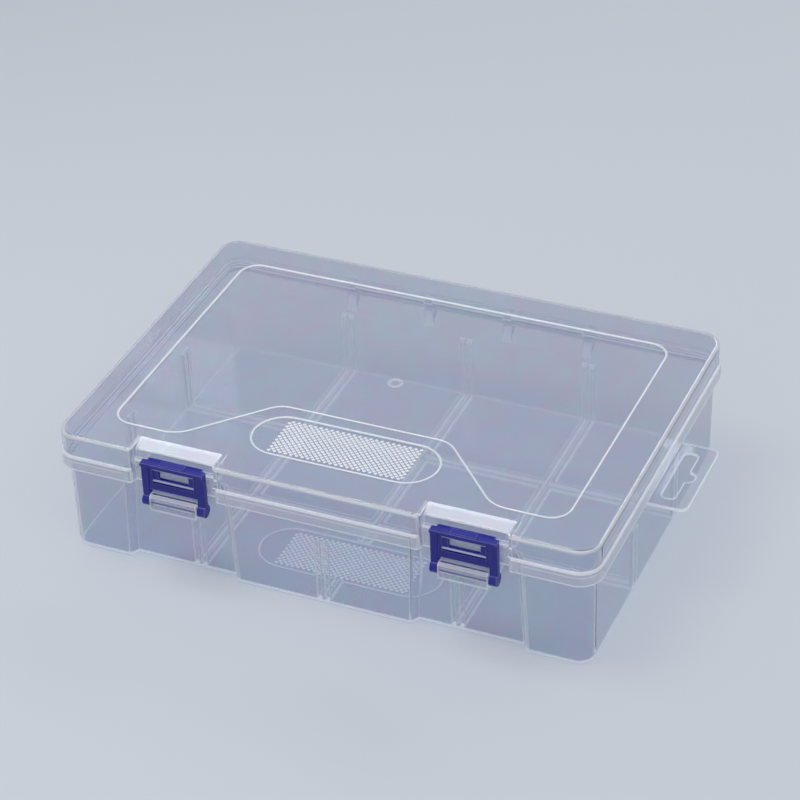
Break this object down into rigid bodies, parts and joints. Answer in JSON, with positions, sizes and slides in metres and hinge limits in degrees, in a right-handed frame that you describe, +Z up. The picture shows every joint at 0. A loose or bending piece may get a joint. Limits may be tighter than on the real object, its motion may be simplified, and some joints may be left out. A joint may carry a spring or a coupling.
{
  "type": "craft storage box",
  "caption": "Clear moulded plastic craft box with a hinged lid, snap latches, divider guides on walls and floor, and a hang tab on one end.",
  "frame": {"origin": "centre of the tray's underside, midway between the ends and midway between the front and rear of the lid's skirt", "axes": "+X along the front towards the end with the hang tab, +Y from the latches to the hinges, +Z up"},
  "size_m": [0.2507, 0.1712, 0.058],
  "materials": {
    "clear_plastic": "clear moulded polypropylene, glossy, faint blue haze",
    "blue_plastic": "opaque deep blue moulded plastic, glossy"
  },
  "bodies": {
    "base": {"base_tray": "clear_plastic", "hinge_pin": "clear_plastic"},
    "lid": {"lid": "clear_plastic"},
    "latch_left": {"latch_left": "blue_plastic"},
    "latch_right": {"latch_right": "blue_plastic"}
  },
  "joints": [
    {"name": "lid_hinge", "type": "hinge", "parent": "base", "child": "lid", "pos_m": [0, 0.0852, 0.0425], "axis": [-1, 0, 0], "range_deg": [0, 180]},
    {"name": "latch_left_pivot", "type": "hinge", "parent": "base", "child": "latch_left", "pos_m": [-0.063, -0.08, 0.0345], "axis": [1, 0, 0], "range_deg": [0, 135]},
    {"name": "latch_right_pivot", "type": "hinge", "parent": "base", "child": "latch_right", "pos_m": [0.063, -0.08, 0.0345], "axis": [1, 0, 0], "range_deg": [0, 135]}
  ]
}
